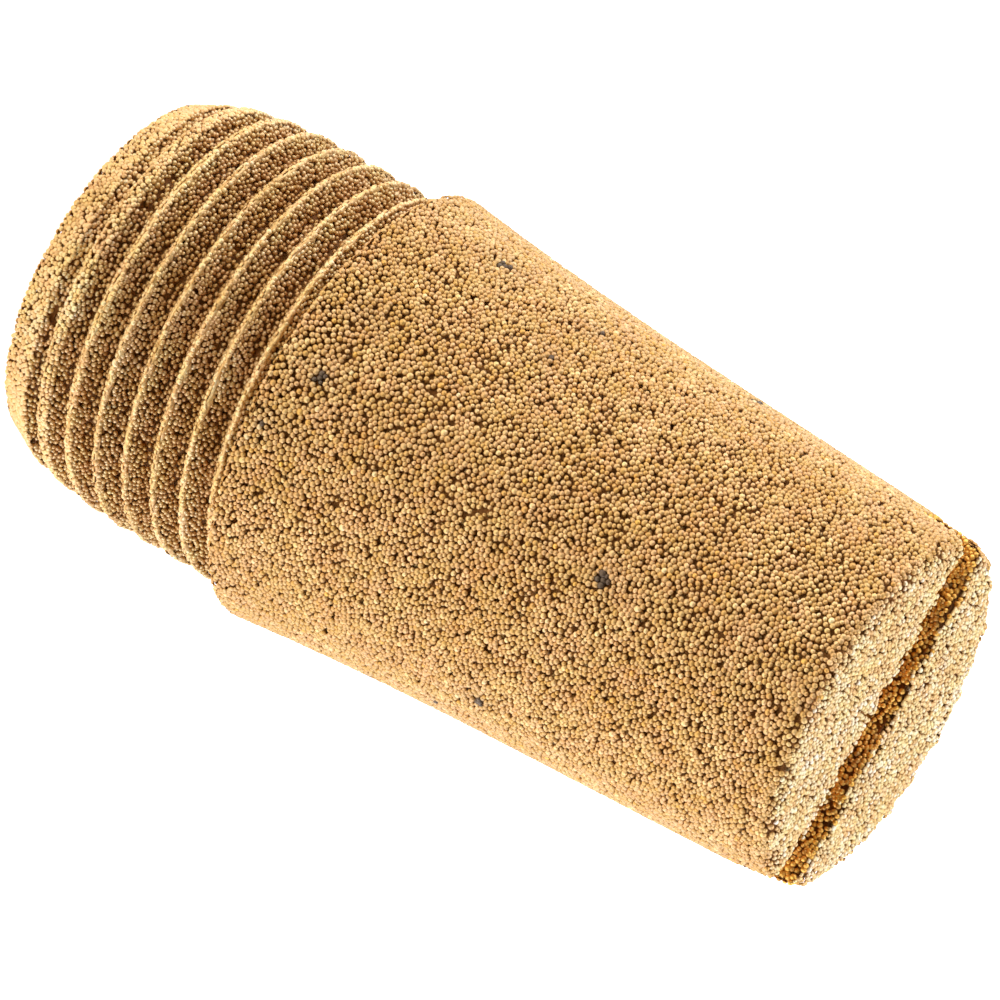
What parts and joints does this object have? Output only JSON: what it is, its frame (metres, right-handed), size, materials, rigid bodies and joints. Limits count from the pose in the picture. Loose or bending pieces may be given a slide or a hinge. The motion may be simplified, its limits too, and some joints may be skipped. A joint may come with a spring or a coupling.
{
  "type": "sintered pneumatic exhaust silencer",
  "caption": "One-piece sintered bronze pneumatic silencer with a male pipe thread, a drafted porous barrel, a blind bore and a slotted closed end.",
  "frame": {"origin": "centre of the threaded end face", "axes": "+Z along the axis from the threaded end to the slotted end; X along the driver slot"},
  "size_m": [0.018, 0.018, 0.0353],
  "materials": {
    "sintered_bronze": "fused spherical bronze powder, satin beads with dark open pores"
  },
  "bodies": {
    "root": {"sintered_body": "sintered_bronze"}
  },
  "joints": []
}
